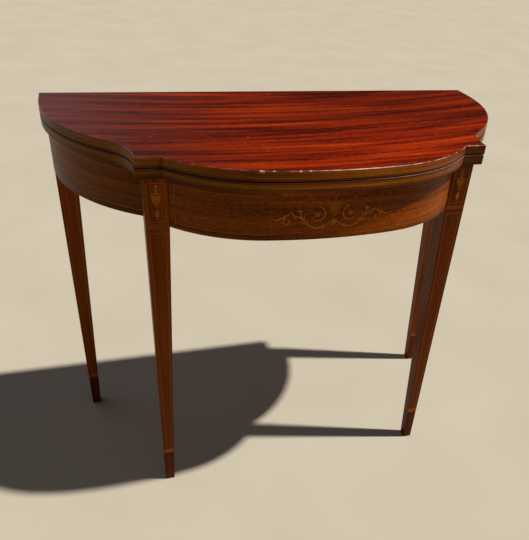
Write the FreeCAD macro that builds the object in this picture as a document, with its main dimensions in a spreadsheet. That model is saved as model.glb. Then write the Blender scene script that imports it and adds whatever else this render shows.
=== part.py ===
import FreeCAD, Part
import math
import os
from types import SimpleNamespace

import Sketcher

# Fold-over card table: two leaves of serpentine outline on a shaped frieze with four square tapered legs.
# The upper leaf folds open about the back edge, and both rear legs swing back on knuckle-jointed rails.
# Millimetres. +X to the right, +Y to the back, +Z up, origin on the floor under the middle of the whole table.

driving_sizes = {
    # top
    "top_width": 914,
    "top_depth": 457,
    "table_height": 737,
    "leaf_thickness": 18,
    "leaf_gap": 0.4,
    "leaf_arris": 1.2,
    # outline of the leaves: straight at the back of each end, then an ogee to the block over the front leg
    "end_straight": 46,
    "end_radius": 319,
    "hollow_radius": 97.5,
    "block_spread": 623,
    "block_width": 41.26,
    "block_side": 7.5,
    "bow_rise": 87.22,
    "bow_centre_width": 234,
    "bow_centre_radius": 805,
    "bow_end_radius": 267,
    # frieze
    "apron_height": 89,
    "apron_thickness": 20,
    "end_overhang": 9,
    "end_front_setback": 19.3,
    "end_rear_inset": 9.9,
    "bow_overhang": 14,
    # legs
    "leg_top_width": 40,
    "leg_foot_width": 18.5,
    "leg_side_inset": 10.5,
    "leg_proud": 1.5,
    "rear_leg_side_inset": 10.5,
    "rear_leg_front_reach": 68,
    "cuff_rise": 81.5,
    "cuff_height": 11,
    "cuff_depth": 1.2,
    # joints of the frieze in the front legs
    "tenon_thickness": 11,
    "tenon_haunch": 10,
    "bow_tenon_length": 18,
    "bow_tenon_setback": 11,
    "end_tenon_length": 14,
    "end_tenon_setback": 6,
    "mortise_spare": 1,
    # back rail, brace and corner blocks
    "back_rail_thickness": 20,
    "back_rail_housing": 8,
    "brace_width": 60,
    "brace_thickness": 20,
    "brace_housing": 9,
    "corner_block_width": 30,
    "corner_block_height": 60,
    # fly rails and their knuckle joints
    "fly_rail_thickness": 22,
    "fly_rail_clearance": 1.5,
    "fly_top_clearance": 1,
    "fly_tenon_length": 22,
    "fly_tenon_thickness": 10,
    "knuckle_spacing": 200,
    "knuckle_clearance": 0.5,
    "knuckle_pin_radius": 3,
    "pin_running_clearance": 0.05,
    "pin_top_clearance": 2,
    # hinges of the upper leaf
    "hinge_plate_length": 42,
    "hinge_plate_height": 10,
    "hinge_plate_thickness": 2.6,
    "hinge_plate_back_gap": 0.6,
    "hinge_eye_radius": 3.2,
    "hinge_eye_clearance": 0.4,
    "hinge_axis_setback": 0.15,
    "hinge_pin_radius": 1.4,
    # screws
    "brace_screw_radius": 2.2,
    "brace_screw_length": 30,
    "brace_screw_pitch": 110,
    "block_screw_radius": 2.4,
    "block_screw_length": 36,
    "block_screw_pitch_across": 120,
    "block_screw_pitch_up": 50,
    "hinge_screw_radius": 1.2,
    "hinge_screw_length": 15,
    "hinge_screw_pitch": 18,
    "cut_overrun": 5,
}
KNUCKLES = 5
SHANK_SIDES = 12
X_AXIS = FreeCAD.Vector(1, 0, 0)
Y_AXIS = FreeCAD.Vector(0, 1, 0)
Z_AXIS = FreeCAD.Vector(0, 0, 1)

doc = FreeCAD.newDocument("card_table")
sheet = doc.addObject("Spreadsheet::Sheet", "Sizes")
for row, (alias, number) in enumerate(driving_sizes.items(), start=1):
    sheet.set(f"A{row}", alias)
    sheet.set(f"B{row}", str(number))
    sheet.setAlias(f"B{row}", alias)
doc.recompute()


class Size:
    """A size worked out from the sheet: its value now, and the expression that keeps it bound to the cells."""

    def __init__(self, value, text):
        self.value = value
        self.text = text

    def __add__(self, other):
        other = as_size(other)
        return Size(self.value + other.value, f"({self.text} + {other.text})")

    def __sub__(self, other):
        other = as_size(other)
        return Size(self.value - other.value, f"({self.text} - {other.text})")

    def __rsub__(self, other):
        return as_size(other) - self

    def __mul__(self, other):
        other = as_size(other)
        return Size(self.value * other.value, f"({self.text} * {other.text})")

    def __truediv__(self, other):
        other = as_size(other)
        return Size(self.value / other.value, f"({self.text} / {other.text})")

    def __neg__(self):
        return Size(-self.value, f"(-1 * {self.text})")

    __radd__ = __add__
    __rmul__ = __mul__


def as_size(number):
    return number if isinstance(number, Size) else Size(float(number), repr(number))


def root(size):
    return Size(math.sqrt(size.value), f"sqrt({size.text})")


def other_side(hypotenuse, side):
    """The third side of a right-angled triangle, for points on a circle."""
    return root(hypotenuse * hypotenuse - side * side)


def arc_centre(start, stop, radius):
    """The centre of an arc from start to stop, on the left of the line between them."""
    run, climb = stop[0] - start[0], stop[1] - start[1]
    chord = root(run * run + climb * climb)
    distance_share = other_side(radius, chord / 2) / chord
    return (start[0] + stop[0]) / 2 - climb * distance_share, (start[1] + stop[1]) / 2 + run * distance_share


def bind(thing, prop, size):
    thing.setExpression(prop, as_size(size).text)


s = SimpleNamespace(**{alias: Size(float(number), f"Sizes.{alias}") for alias, number in driving_sizes.items()})


# Helpers for solids: each makes one object of the document, with its sizes bound to the sheet.
def place(solid, x, y, z):
    bind(solid, "Placement.Base.x", x)
    bind(solid, "Placement.Base.y", y)
    bind(solid, "Placement.Base.z", z)
    return solid


def block(label, x_span, y_span, z_span):
    solid = doc.addObject("Part::Box", label)
    bind(solid, "Length", x_span[1] - x_span[0])
    bind(solid, "Width", y_span[1] - y_span[0])
    bind(solid, "Height", z_span[1] - z_span[0])
    return place(solid, x_span[0], y_span[0], z_span[0])


def lay(solid, start, length, turn):
    """Sets a rod's length and lays it along its axis."""
    bind(solid, "Height", length)
    if turn:
        solid.Placement.Rotation = turn
    return place(solid, *start)


def rod(label, start, radius, length, turn=None):
    solid = doc.addObject("Part::Cylinder", label)
    bind(solid, "Radius", radius)
    return lay(solid, start, length, turn)


def screw_shank(label, start, radius, length, turn=None):
    """The shank of a screw, with flat sides, so that the many small screws stay light."""
    solid = doc.addObject("Part::Prism", label)
    solid.Polygon = SHANK_SIDES
    bind(solid, "Circumradius", radius)
    return lay(solid, start, length, turn)


def fuse(label, solids):
    whole = doc.addObject("Part::MultiFuse", label)
    whole.Shapes = solids
    whole.Refine = True
    return whole


def cut(label, base, tools):
    result = doc.addObject("Part::Cut", label)
    result.Base = base
    result.Tool = tools[0] if len(tools) == 1 else fuse(f"{label}_cutters", tools)
    result.Refine = True
    return result


def group(label, solids):
    whole = doc.addObject("Part::Compound", label)
    whole.Links = solids
    return whole


def mirror(label, source):
    """The same piece for the other side of the table."""
    twin = doc.addObject("Part::Mirroring", label)
    twin.Source = source
    twin.Normal = X_AXIS
    return twin


# Helpers for bodies: a plan outline is a closed run of corners, each with the edge that leaves it.
def new_body(label):
    return doc.addObject("PartDesign::Body", label)


def plan_sketch(body, name, height):
    sketch = body.newObject("Sketcher::SketchObject", name)
    plane = next(part for part in body.Origin.OriginFeatures if part.Role == "XY_Plane")
    sketch.AttachmentSupport = [(plane, "")]
    sketch.MapMode = "FlatFace"
    bind(sketch, "AttachmentOffset.Base.z", height)
    return sketch


def straight(x, y):
    return SimpleNamespace(x=as_size(x), y=as_size(y), radius=None, hollow=False)


def swell(x, y, radius):
    return SimpleNamespace(x=as_size(x), y=as_size(y), radius=radius, hollow=False)


def hollow(x, y, radius):
    return SimpleNamespace(x=as_size(x), y=as_size(y), radius=radius, hollow=True)


def arc_between(start, end, radius, is_hollow):
    chord = end - start
    middle = (start + end) / 2
    inward = FreeCAD.Vector(-chord.y, chord.x, 0).normalize()
    reach = math.sqrt(radius ** 2 - (chord.Length / 2) ** 2)
    centre = middle - inward * reach if is_hollow else middle + inward * reach
    first, last = (end, start) if is_hollow else (start, end)
    angles = [math.atan2(point.y - centre.y, point.x - centre.x) for point in (first, last)]
    return Part.ArcOfCircle(Part.Circle(centre, Z_AXIS, radius), angles[0], angles[1])


def draw(sketch, corners):
    """Draw the outline anticlockwise, every corner bound by its two distances and every arc by its radius."""
    first_edge = sketch.GeometryCount
    count = len(corners)
    points = [FreeCAD.Vector(corner.x.value, corner.y.value, 0) for corner in corners]
    for i, corner in enumerate(corners):
        start, end = points[i], points[(i + 1) % count]
        if corner.radius is None:
            sketch.addGeometry(Part.LineSegment(start, end))
        else:
            sketch.addGeometry(arc_between(start, end, corner.radius.value, corner.hollow))
    for i, corner in enumerate(corners):
        following = (i + 1) % count
        leaving = 1 if corner.hollow else 2
        arriving = 2 if corners[following].hollow else 1
        joined = (first_edge + i, leaving, first_edge + following, arriving)
        sketch.addConstraint(Sketcher.Constraint("Coincident", *joined))
    for i, corner in enumerate(corners):
        edge = first_edge + i
        end_of_edge = 2 if corner.hollow else 1
        for kind, size in (("DistanceX", corner.x), ("DistanceY", corner.y)):
            made = sketch.addConstraint(Sketcher.Constraint(kind, -1, 1, edge, end_of_edge, size.value))
            bind(sketch, f"Constraints[{made}]", size)
        if corner.radius is not None:
            made = sketch.addConstraint(Sketcher.Constraint("Radius", edge, corner.radius.value))
            bind(sketch, f"Constraints[{made}]", corner.radius)
    return sketch


def pad(body, name, outlines, bottom, height):
    sketch = plan_sketch(body, f"{name}_plan", bottom)
    for corners in outlines:
        draw(sketch, corners)
    feature = body.newObject("PartDesign::Pad", name)
    feature.Profile = sketch
    bind(feature, "Length", height)
    return feature


def rectangle(x_span, y_span):
    return [straight(x_span[0], y_span[0]), straight(x_span[1], y_span[0]),
            straight(x_span[1], y_span[1]), straight(x_span[0], y_span[1])]


# Levels of the table
upper_leaf_bottom = s.table_height - s.leaf_thickness
lower_leaf_top = upper_leaf_bottom - s.leaf_gap
apron_top = lower_leaf_top - s.leaf_thickness
apron_bottom = apron_top - s.apron_height

# Plan of the top: its edges, and the block over each front leg, set back by the rise of the bow
hinge_reach = s.hinge_axis_setback + s.hinge_eye_radius
back_y = (s.top_depth - hinge_reach) / 2
front_y = back_y - s.top_depth
end_x = s.top_width / 2
end_curve_y = back_y - s.end_straight
block_x = s.block_spread / 2
block_inner_x = block_x - s.block_width
block_y = front_y + s.bow_rise
hollow_y = block_y + s.block_side

# The ogee: two arcs that meet on the line between its ends, which they share out by their radii
ogee_share = s.end_radius / (s.end_radius + s.hollow_radius)
ogee_x = end_x - (end_x - block_x) * ogee_share
ogee_y = end_curve_y - (end_curve_y - hollow_y) * ogee_share

# The bow: a flat middle arc, and at each side a tighter arc from it to the block
bow_centre_y = front_y + s.bow_centre_radius
bow_sine_share = s.bow_centre_width / (2 * s.bow_centre_radius)
bow_cosine_share = other_side(as_size(1), bow_sine_share)


def bow_change(inset):
    """Where the middle arc of the bow, set in by inset, meets its end arc."""
    radius = s.bow_centre_radius - inset
    return radius * bow_sine_share, bow_centre_y - radius * bow_cosine_share


bow_end_centre = arc_centre(bow_change(as_size(0)), (block_inner_x, block_y), s.bow_end_radius)


def bow_end_y(inset, x):
    """Where the end arc of the bow, set in by inset, stands at x."""
    return bow_end_centre[1] - other_side(s.bow_end_radius - inset, x - bow_end_centre[0])


# Places of the legs: the front legs stand a little proud of the bow, the rear legs close against the side aprons
leg_outer_x = block_x - s.leg_side_inset
leg_inner_x = leg_outer_x - s.leg_top_width
bow_face_end_y = bow_end_y(s.bow_overhang, leg_inner_x)
leg_front_y = bow_face_end_y - s.leg_proud
leg_back_y = leg_front_y + s.leg_top_width
rear_leg_outer_x = end_x - s.rear_leg_side_inset
rear_leg_inner_x = rear_leg_outer_x - s.leg_top_width
rear_leg_front_y = back_y - s.rear_leg_front_reach
rear_leg_back_y = rear_leg_front_y + s.leg_top_width
rail_back_y = rear_leg_front_y - s.fly_rail_clearance
rail_front_y = rail_back_y - s.back_rail_thickness


# Leaves: one outline, eased along the front and the ends, left square along the hinged back edge
def leaf_outline():
    change_x, change_y = bow_change(as_size(0))
    return [
        swell(-change_x, change_y, s.bow_centre_radius),
        swell(change_x, change_y, s.bow_end_radius),
        straight(block_inner_x, block_y),
        straight(block_x, block_y),
        hollow(block_x, hollow_y, s.hollow_radius),
        swell(ogee_x, ogee_y, s.end_radius),
        straight(end_x, end_curve_y),
        straight(end_x, back_y),
        straight(-end_x, back_y),
        swell(-end_x, end_curve_y, s.end_radius),
        hollow(-ogee_x, ogee_y, s.hollow_radius),
        straight(-block_x, hollow_y),
        straight(-block_x, block_y),
        swell(-block_inner_x, block_y, s.bow_end_radius),
    ]


def leaf_blank(label, bottom):
    body = new_body(label)
    board = pad(body, f"{label}_board", [leaf_outline()], bottom, s.leaf_thickness)
    doc.recompute()
    back = back_y.value - s.leaf_arris.value
    eased = []
    for number, edge in enumerate(board.Shape.Edges, start=1):
        lies_flat = edge.BoundBox.ZLength < s.leaf_arris.value
        if lies_flat and edge.BoundBox.YMin < back:
            eased.append(f"Edge{number}")
    arris = body.newObject("PartDesign::Chamfer", f"{label}_arris")
    arris.Base = (board, eased)
    bind(arris, "Size", s.leaf_arris)
    return body


upper_blank = leaf_blank("upper_leaf_blank", upper_leaf_bottom)
lower_blank = leaf_blank("lower_leaf_blank", lower_leaf_top - s.leaf_thickness)

# Brass hinges: two plates in one plane, let into the end of each leaf, with lapped eyes on a pin
hinge_axis_y = back_y + s.hinge_axis_setback
hinge_axis_z = lower_leaf_top + s.leaf_gap / 2
plate_inner_x = end_x - s.hinge_plate_thickness
plate_middle_x = end_x - s.hinge_plate_thickness / 2
plate_back_y = hinge_axis_y - s.hinge_plate_back_gap
plate_y_span = (plate_back_y - s.hinge_plate_length, plate_back_y)
along_x = FreeCAD.Rotation(Y_AXIS, 90)
into_leaf = FreeCAD.Rotation(Y_AXIS, -90)
eye_room = s.hinge_eye_radius + s.hinge_eye_clearance
lap = s.hinge_plate_thickness / 2


def hinge_disc(label, x, radius, thickness):
    return rod(label, (x, hinge_axis_y, hinge_axis_z), radius, thickness, along_x)


def hinge_plate(label, z_span, eye_x, room_x, pin_hole_radius, screws):
    plate = block(f"{label}_strip", (plate_inner_x, end_x), plate_y_span, z_span)
    relieved = cut(f"{label}_relieved", plate, [hinge_disc(f"{label}_room", room_x, eye_room, lap)])
    eye = hinge_disc(f"{label}_eye", eye_x, s.hinge_eye_radius, lap)
    hole = hinge_disc(f"{label}_hole", plate_inner_x, pin_hole_radius, s.hinge_plate_thickness)
    return cut(label, fuse(f"{label}_eyed", [relieved, eye]), [hole] + screws)


def hinge_screws(label, z):
    middle = (plate_y_span[0] + plate_y_span[1]) / 2
    return [screw_shank(f"{label}_{number}", (end_x, middle + way * s.hinge_screw_pitch / 2, z),
                        s.hinge_screw_radius, s.hinge_screw_length, into_leaf)
            for number, way in enumerate((-1, 1), start=1)]


lower_plate_z = (lower_leaf_top - s.hinge_plate_height, lower_leaf_top)
upper_plate_z = (upper_leaf_bottom, upper_leaf_bottom + s.hinge_plate_height)
lower_screws = hinge_screws("lower_hinge_screw", (lower_plate_z[0] + lower_plate_z[1]) / 2)
upper_screws = hinge_screws("upper_hinge_screw", (upper_plate_z[0] + upper_plate_z[1]) / 2)
pin_hole = s.hinge_pin_radius + s.pin_running_clearance
right_hinge_lower_plate = hinge_plate(
    "right_hinge_lower_plate", lower_plate_z, plate_middle_x, plate_inner_x, s.hinge_pin_radius, lower_screws)
right_hinge_upper_plate = hinge_plate(
    "right_hinge_upper_plate", upper_plate_z, plate_inner_x, plate_middle_x, pin_hole, upper_screws)
left_hinge_lower_plate = mirror("left_hinge_lower_plate", right_hinge_lower_plate)
left_hinge_upper_plate = mirror("left_hinge_upper_plate", right_hinge_upper_plate)
right_hinge_pin = hinge_disc("right_hinge_pin", plate_inner_x, s.hinge_pin_radius, s.hinge_plate_thickness)
left_hinge_pin = mirror("left_hinge_pin", right_hinge_pin)
lower_hinge_screws = group(
    "lower_hinge_screws", lower_screws + [mirror(f"left_{one.Name}", one) for one in lower_screws])
upper_hinge_screws = group(
    "upper_hinge_screws", upper_screws + [mirror(f"left_{one.Name}", one) for one in upper_screws])


def hinge_recess(label, z_span, screws):
    """What is cut out of a leaf's end for its plate, the two eyes and the screws."""
    strip = block(f"{label}_strip", (plate_inner_x, end_x + s.cut_overrun),
                  (plate_y_span[0], back_y + s.cut_overrun), z_span)
    room = hinge_disc(f"{label}_eye_room", plate_inner_x, eye_room, s.hinge_plate_thickness + s.cut_overrun)
    right = fuse(label, [strip, room] + screws)
    return [right, mirror(f"left_{label}", right)]


upper_leaf = cut("upper_leaf", upper_blank, hinge_recess("upper_recess", upper_plate_z, upper_screws))

# Frieze: the bow front, tenoned into the inner faces of the front legs
tenon_z = (apron_bottom + s.tenon_haunch, apron_top - s.tenon_haunch)
tenon_height = s.apron_height - 2 * s.tenon_haunch
inner_inset = s.bow_overhang + s.apron_thickness
outer_change = bow_change(s.bow_overhang)
inner_change = bow_change(inner_inset)
bow_inner_end_y = bow_end_y(inner_inset, leg_inner_x)
bow_outline = [
    swell(-leg_inner_x, bow_face_end_y, s.bow_end_radius - s.bow_overhang),
    swell(-outer_change[0], outer_change[1], s.bow_centre_radius - s.bow_overhang),
    swell(outer_change[0], outer_change[1], s.bow_end_radius - s.bow_overhang),
    straight(leg_inner_x, bow_face_end_y),
    hollow(leg_inner_x, bow_inner_end_y, s.bow_end_radius - inner_inset),
    hollow(inner_change[0], inner_change[1], s.bow_centre_radius - inner_inset),
    hollow(-inner_change[0], inner_change[1], s.bow_end_radius - inner_inset),
    straight(-leg_inner_x, bow_inner_end_y),
]
bow_body = new_body("bow_apron_blank")
pad(bow_body, "bow_board", [bow_outline], apron_bottom, s.apron_height)
bow_tenon_y = (leg_front_y + s.bow_tenon_setback, leg_front_y + s.bow_tenon_setback + s.tenon_thickness)
bow_tenon_x = (leg_inner_x - s.tenon_thickness / 2, leg_inner_x + s.bow_tenon_length)
left_bow_tenon_x = (-bow_tenon_x[1], -bow_tenon_x[0])
pad(bow_body, "bow_tenons", [rectangle(bow_tenon_x, bow_tenon_y), rectangle(left_bow_tenon_x, bow_tenon_y)],
    tenon_z[0], tenon_height)

# Frieze: the curved ends, each an arc from the back face of a front leg to the back rail
end_start = (leg_outer_x - s.end_front_setback, leg_back_y)
end_stop = (end_x - s.end_rear_inset, rail_back_y)
end_face_radius = s.end_radius - s.end_overhang
end_inner_radius = end_face_radius - s.apron_thickness
end_arc_centre = arc_centre(end_start, end_stop, end_face_radius)


def end_inside_x(y):
    """Where the inside of the curved end stands at y."""
    return end_arc_centre[0] + other_side(end_inner_radius, y - end_arc_centre[1])


end_inside_y = end_arc_centre[1] - other_side(end_inner_radius, leg_inner_x - end_arc_centre[0])
rail_end_x = end_inside_x(rail_front_y) + s.back_rail_housing
end_body = new_body("right_side_apron")
pad(end_body, "side_board", [[
    swell(*end_start, end_face_radius),
    straight(*end_stop),
    straight(rail_end_x, rail_back_y),
    straight(rail_end_x, rail_front_y),
    hollow(end_inside_x(rail_front_y), rail_front_y, end_inner_radius),
    straight(leg_inner_x, end_inside_y),
    straight(leg_inner_x, leg_back_y),
]], apron_bottom, s.apron_height)
end_tenon_x = (leg_inner_x + s.end_tenon_setback, leg_inner_x + s.end_tenon_setback + s.tenon_thickness)
end_tenon_y = (leg_back_y - s.end_tenon_length, leg_back_y + s.tenon_thickness / 2)
pad(end_body, "side_tenon", [rectangle(end_tenon_x, end_tenon_y)], tenon_z[0], tenon_height)
right_side_apron = end_body
left_side_apron = mirror("left_side_apron", right_side_apron)


# Legs: square at the frieze, tapered below it on two faces, with a light band let in above the foot
def leg_and_cuff(name, outer_x, front, top, mortises):
    """A right-hand leg. Its outer face and its front face stay upright, and the other two taper."""
    taper = doc.addObject("Part::Wedge", f"{name}_taper")
    taper.Placement.Rotation = FreeCAD.Rotation(X_AXIS, 90)
    for end, width in (("", s.leg_foot_width), ("2", s.leg_top_width)):
        bind(taper, f"X{end}min", outer_x - width)
        bind(taper, f"X{end}max", outer_x)
        bind(taper, f"Z{end}min", -front - width)
        bind(taper, f"Z{end}max", -front)
    bind(taper, "Ymin", 0)
    bind(taper, "Ymax", apron_bottom)
    post = block(f"{name}_post", (outer_x - s.leg_top_width, outer_x), (front, front + s.leg_top_width),
                 (apron_bottom, top))
    blank = fuse(f"{name}_leg_blank", [taper, post])
    growth_share = (s.leg_top_width - s.leg_foot_width) / apron_bottom
    width = s.leg_foot_width + s.cuff_rise * growth_share
    band_z = (s.cuff_rise, s.cuff_rise + s.cuff_height)
    reach = s.leg_top_width + s.cut_overrun
    slab = block(f"{name}_slab", (outer_x - reach, outer_x + s.cut_overrun),
                 (front - s.cut_overrun, front + reach), band_z)
    slice_of_leg = doc.addObject("Part::Common", f"{name}_slice")
    slice_of_leg.Base = blank
    slice_of_leg.Tool = slab
    core = block(f"{name}_core", (outer_x - width + s.cuff_depth, outer_x - s.cuff_depth),
                 (front + s.cuff_depth, front + width - s.cuff_depth),
                 (band_z[0] - s.cut_overrun, band_z[1] + s.cut_overrun))
    cuff = cut(f"{name}_cuff", slice_of_leg, [core])
    return cut(f"{name}_leg", blank, [cuff] + mortises), cuff


bow_mortise = block("bow_mortise", (leg_inner_x, bow_tenon_x[1] + s.mortise_spare), bow_tenon_y, tenon_z)
end_mortise = block("end_mortise", end_tenon_x, (end_tenon_y[0] - s.mortise_spare, leg_back_y), tenon_z)
front_right_leg, front_right_cuff = leg_and_cuff(
    "front_right", leg_outer_x, leg_front_y, apron_top, [bow_mortise, end_mortise])
front_left_leg = mirror("front_left_leg", front_right_leg)
front_left_cuff = mirror("front_left_cuff", front_right_cuff)

fly_top = apron_top - s.fly_top_clearance
fly_y = (rear_leg_front_y, rear_leg_front_y + s.fly_rail_thickness)
knuckle_y = rear_leg_front_y + s.fly_rail_thickness / 2
fly_tenon_y = (knuckle_y - s.fly_tenon_thickness / 2, knuckle_y + s.fly_tenon_thickness / 2)
fly_tenon_z = (apron_bottom + s.tenon_haunch, fly_top - s.tenon_haunch)
fly_mortise = block("fly_mortise", (rear_leg_inner_x, rear_leg_inner_x + s.fly_tenon_length + s.mortise_spare),
                    fly_tenon_y, fly_tenon_z)
rear_right_leg, rear_right_cuff = leg_and_cuff(
    "rear_right", rear_leg_outer_x, rear_leg_front_y, fly_top, [fly_mortise])
rear_left_leg = mirror("rear_left_leg", rear_right_leg)
rear_left_cuff = mirror("rear_left_cuff", rear_right_cuff)

# Knuckle joints: rounded fingers of the fixed block and of each fly rail, in turn up a pin
knuckle_x = s.knuckle_spacing / 2
knuckle_radius = s.fly_rail_thickness / 2
shoulder_reach = knuckle_radius + s.knuckle_clearance
finger_height = s.apron_height / KNUCKLES


def finger(root_x, way):
    """A rounded finger on the right-hand pin, growing from root_x; way is 1 if it points to the right."""
    tip = [(knuckle_x, knuckle_y - knuckle_radius), (knuckle_x + way * knuckle_radius, knuckle_y),
           (knuckle_x, knuckle_y + knuckle_radius)]
    if way > 0:
        return [straight(root_x, tip[0][1]), swell(*tip[0], knuckle_radius), swell(*tip[1], knuckle_radius),
                straight(*tip[2]), straight(root_x, tip[2][1])]
    return [straight(root_x, tip[2][1]), swell(*tip[2], knuckle_radius), swell(*tip[1], knuckle_radius),
            straight(*tip[0]), straight(root_x, tip[0][1])]


def mirrored(corners):
    """The same outline on the left-hand side, still drawn anticlockwise."""
    count = len(corners)
    return [SimpleNamespace(x=-corners[i].x, y=corners[i].y, radius=corners[i - 1].radius,
                            hollow=corners[i - 1].hollow) for i in range(count - 1, -1, -1)]


block_body = new_body("hinge_block_blank")
block_end_x = knuckle_x - shoulder_reach
pad(block_body, "hinge_block_core", [rectangle((-block_end_x, block_end_x), (rail_back_y, fly_y[1]))],
    apron_bottom, s.apron_height)
fixed_finger = finger(block_end_x - knuckle_radius, 1)
for level in range(0, KNUCKLES, 2):
    pad(block_body, f"fixed_finger_{level}", [fixed_finger, mirrored(fixed_finger)],
        apron_bottom + level * finger_height, finger_height)
pin_length = s.apron_height - s.pin_top_clearance
right_knuckle_pin = rod(
    "right_knuckle_pin", (knuckle_x, knuckle_y, apron_bottom), s.knuckle_pin_radius, pin_length)
left_knuckle_pin = mirror("left_knuckle_pin", right_knuckle_pin)
into_rail = FreeCAD.Rotation(X_AXIS, 90)
block_middle_z = apron_bottom + s.apron_height / 2
block_screw_list = []
for way in (-1, 1):
    for rise in (-1, 1):
        start = (way * s.block_screw_pitch_across / 2, fly_y[1], block_middle_z + rise * s.block_screw_pitch_up / 2)
        label = f"block_screw_{len(block_screw_list) + 1}"
        block_screw_list.append(
            screw_shank(label, start, s.block_screw_radius, s.block_screw_length, into_rail))
block_screws = group("block_screws", block_screw_list)
hinge_block = cut("hinge_block", block_body, [right_knuckle_pin, left_knuckle_pin] + block_screw_list)

fly_body = new_body("right_fly_rail_blank")
pad(fly_body, "fly_rail_board", [rectangle((knuckle_x + shoulder_reach, rear_leg_inner_x), fly_y)],
    apron_bottom, fly_top - apron_bottom)
pad(fly_body, "fly_rail_tenon",
    [rectangle((rear_leg_inner_x - s.fly_tenon_length, rear_leg_inner_x + s.fly_tenon_length), fly_tenon_y)],
    fly_tenon_z[0], fly_tenon_z[1] - fly_tenon_z[0])
for level in range(1, KNUCKLES, 2):
    pad(fly_body, f"fly_finger_{level}", [finger(knuckle_x + shoulder_reach + knuckle_radius, -1)],
        apron_bottom + level * finger_height + s.knuckle_clearance, finger_height - 2 * s.knuckle_clearance)
fly_bore = rod("fly_bore", (knuckle_x, knuckle_y, apron_bottom - s.cut_overrun),
               s.knuckle_pin_radius + s.pin_running_clearance, s.apron_height + 2 * s.cut_overrun)
right_fly_rail = cut("right_fly_rail", fly_body, [fly_bore])
left_fly_rail = mirror("left_fly_rail", right_fly_rail)

# Back rail, seated in the rebates of the side aprons; the brace is let into it and into the bow
brace_z = (apron_top - s.brace_thickness, apron_top)
brace_x = (-s.brace_width / 2, s.brace_width / 2)
bow_inner_y = front_y + inner_inset
brace_y = (bow_inner_y - s.brace_housing, rail_front_y + s.brace_housing)
brace_middle_y = (brace_y[0] + brace_y[1]) / 2
top_screw_list = [
    screw_shank(f"top_screw_{number}", (as_size(0), brace_middle_y + way * s.brace_screw_pitch, brace_z[0]),
                s.brace_screw_radius, s.brace_screw_length)
    for number, way in enumerate((-1, 0, 1), start=1)]
top_screws = group("top_screws", top_screw_list)
brace_board = block("brace_board", brace_x, brace_y, brace_z)
medial_brace = cut("medial_brace", brace_board, top_screw_list)
rail_board = block(
    "back_rail_board", (-rail_end_x, rail_end_x), (rail_front_y, rail_back_y), (apron_bottom, apron_top))
back_rail = cut("back_rail", rail_board, [brace_board] + block_screw_list)
bow_apron = cut("bow_apron", bow_body, [brace_board])
lower_leaf = cut("lower_leaf", lower_blank,
                 hinge_recess("lower_recess", lower_plate_z, lower_screws) + top_screw_list)

# Corner blocks, glued between the back rail and the curved inside of each end
corner_y = rail_front_y - s.corner_block_width
corner_body = new_body("right_corner_block")
pad(corner_body, "corner_piece", [[
    swell(end_inside_x(corner_y), corner_y, end_inner_radius),
    straight(end_inside_x(rail_front_y), rail_front_y),
    straight(end_inside_x(corner_y) - s.corner_block_width, rail_front_y),
]], apron_top - s.corner_block_height, s.corner_block_height)
right_corner_block = corner_body
left_corner_block = mirror("left_corner_block", right_corner_block)

nodes = [
    upper_leaf, lower_leaf, bow_apron, left_side_apron, right_side_apron,
    front_left_leg, front_right_leg, rear_left_leg, rear_right_leg,
    front_left_cuff, front_right_cuff, rear_left_cuff, rear_right_cuff,
    back_rail, hinge_block, left_fly_rail, right_fly_rail, left_knuckle_pin, right_knuckle_pin,
    medial_brace, left_corner_block, right_corner_block, top_screws, block_screws,
    left_hinge_lower_plate, right_hinge_lower_plate, left_hinge_upper_plate, right_hinge_upper_plate,
    left_hinge_pin, right_hinge_pin, lower_hinge_screws, upper_hinge_screws,
]

doc.recompute()
failed = [thing.Label for thing in doc.Objects if {"Invalid", "Error"} & set(thing.State)]
if failed:
    raise RuntimeError(f"these did not build: {failed}")
for node in nodes:
    if node.Shape.isNull() or not node.Shape.isValid() or not node.Shape.Solids:
        raise RuntimeError(f"no valid solid in {node.Label}")

os.makedirs("parts", exist_ok=True)
for node in nodes:
    node.Shape.exportStep(f"parts/{node.Label}.step")
print(f"{len(nodes)} pieces, leg front {leg_front_y.value:.1f}, block front {block_y.value:.1f}")
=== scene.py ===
import math

import bmesh
import bpy
from mathutils import Matrix, Vector


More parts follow.
